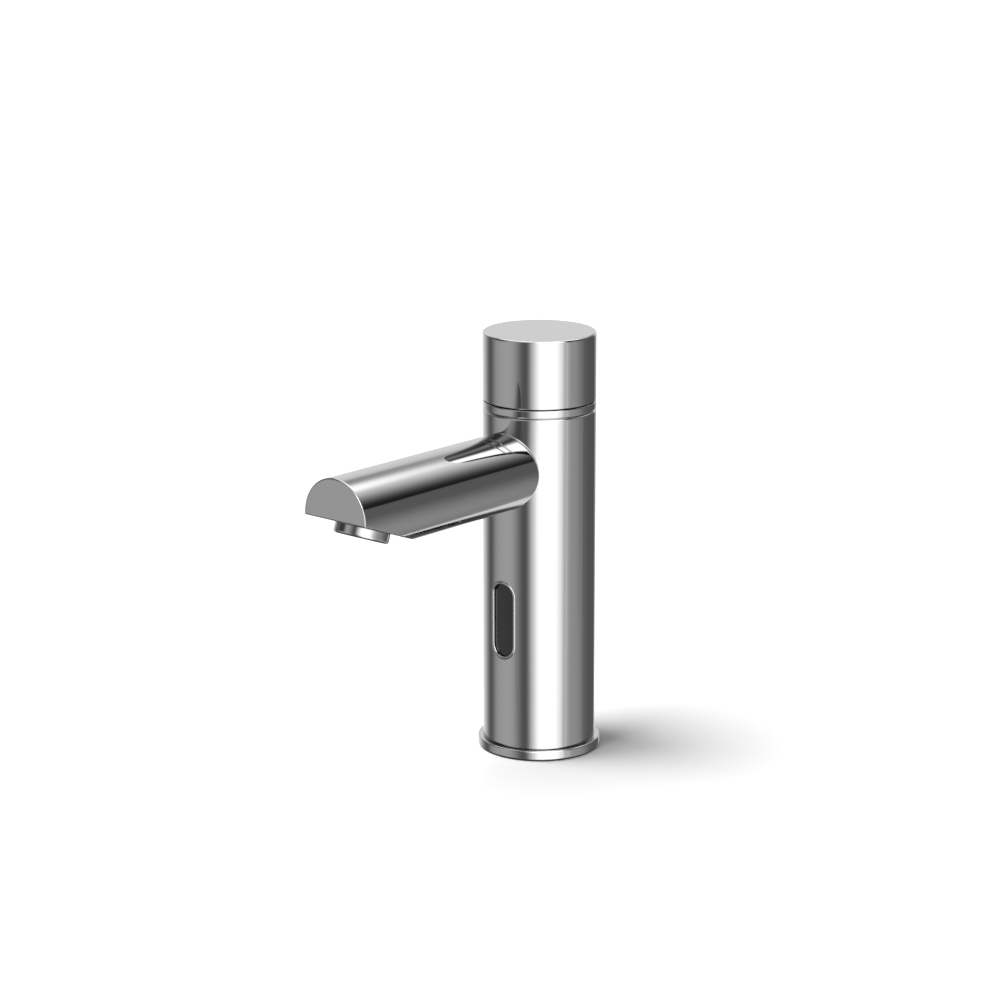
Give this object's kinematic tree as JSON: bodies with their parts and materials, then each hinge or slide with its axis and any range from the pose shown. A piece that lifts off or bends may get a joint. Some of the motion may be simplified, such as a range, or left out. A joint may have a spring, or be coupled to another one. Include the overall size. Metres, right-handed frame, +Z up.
{
  "type": "basin mixer tap",
  "caption": "Chrome deck-mounted basin tap: round column with a sensor window, level round spout with a slanting aerator outlet, and a turning temperature knob on top.",
  "frame": {"origin": "on the deck face, where the column's axis meets it", "axes": "+Z up along the column's axis; -Y forward along the spout; +X to the right for someone who faces the tap"},
  "size_m": [0.0506, 0.1461, 0.1757],
  "materials": {
    "chrome": "polished chrome plate",
    "brass": "machined",
    "stainless": "machined",
    "copper": "enamelled copper wire",
    "rubber": "black, matt",
    "white_plastic": "moulded, white",
    "grey_plastic": "moulded, grey",
    "black_plastic": "moulded, black",
    "window": "dark tinted, glossy",
    "board": "green circuit board",
    "lens": "tinted clear",
    "ceramic": "lapped, white"
  },
  "bodies": {
    "root": {"column_shell": "chrome", "spout_shell": "chrome", "base_flange": "chrome", "base_gasket": "rubber", "base_block": "brass", "cable_grommet": "rubber", "hot_riser": "stainless", "cold_riser": "stainless", "riser_o_rings": "rubber", "valve_body": "brass", "outlet_tube": "white_plastic", "outlet_tube_o_rings": "rubber", "collar_ring": "chrome", "aerator_shell": "chrome", "aerator_insert": "grey_plastic", "aerator_strainer": "white_plastic", "aerator_seal": "rubber", "cartridge_base": "white_plastic", "cartridge_port_seals": "rubber", "disc_seals": "rubber", "fixed_disc": "ceramic", "cartridge_housing": "white_plastic", "cartridge_nut": "brass", "stop_ring": "grey_plastic", "solenoid_bonnet": "grey_plastic", "core_tube": "stainless", "solenoid_can": "stainless", "pole_washer": "stainless", "coil_bobbin": "black_plastic", "coil_winding": "copper", "pole_piece": "stainless", "solenoid_nut": "brass", "plunger_spring": "stainless", "solenoid_lead": "black_plastic", "window_bezel": "chrome", "sensor_window": "window", "window_gasket": "rubber", "sensor_housing": "black_plastic", "sensor_board": "board", "ir_emitter": "lens", "ir_receiver": "lens"},
    "temperature_knob": {"knob_cap": "chrome", "knob_grub_screw": "stainless", "knob_adapter": "white_plastic", "knob_screw": "stainless", "cartridge_spindle": "brass", "spindle_o_rings": "rubber", "moving_disc": "ceramic"},
    "solenoid_armature": {"plunger": "stainless", "plunger_seal": "rubber"},
    "diaphragm": {"diaphragm_carrier": "white_plastic", "diaphragm_membrane": "rubber"}
  },
  "joints": [
    {"name": "temperature_turn", "type": "hinge", "parent": "root", "child": "temperature_knob", "pos_m": [0, 0, 0.1617], "axis": [0, 0, 1], "range_deg": [-50, 50]},
    {"name": "plunger_lift", "type": "slide", "parent": "root", "child": "solenoid_armature", "axis": [0, 0, -1], "range_m": [0, 0.0018], "stiffness_N_per_m": 300, "springref_m": -0.004, "deforming": ["plunger_spring"]},
    {"name": "diaphragm_lift", "type": "slide", "parent": "root", "child": "diaphragm", "axis": [0, 0, -1], "range_m": [0, 0.0015], "deforming": ["diaphragm_membrane"]}
  ],
  "couplings": [
    {"joint": "diaphragm_lift", "follows": "plunger_lift", "ratio": 0.8333}
  ]
}
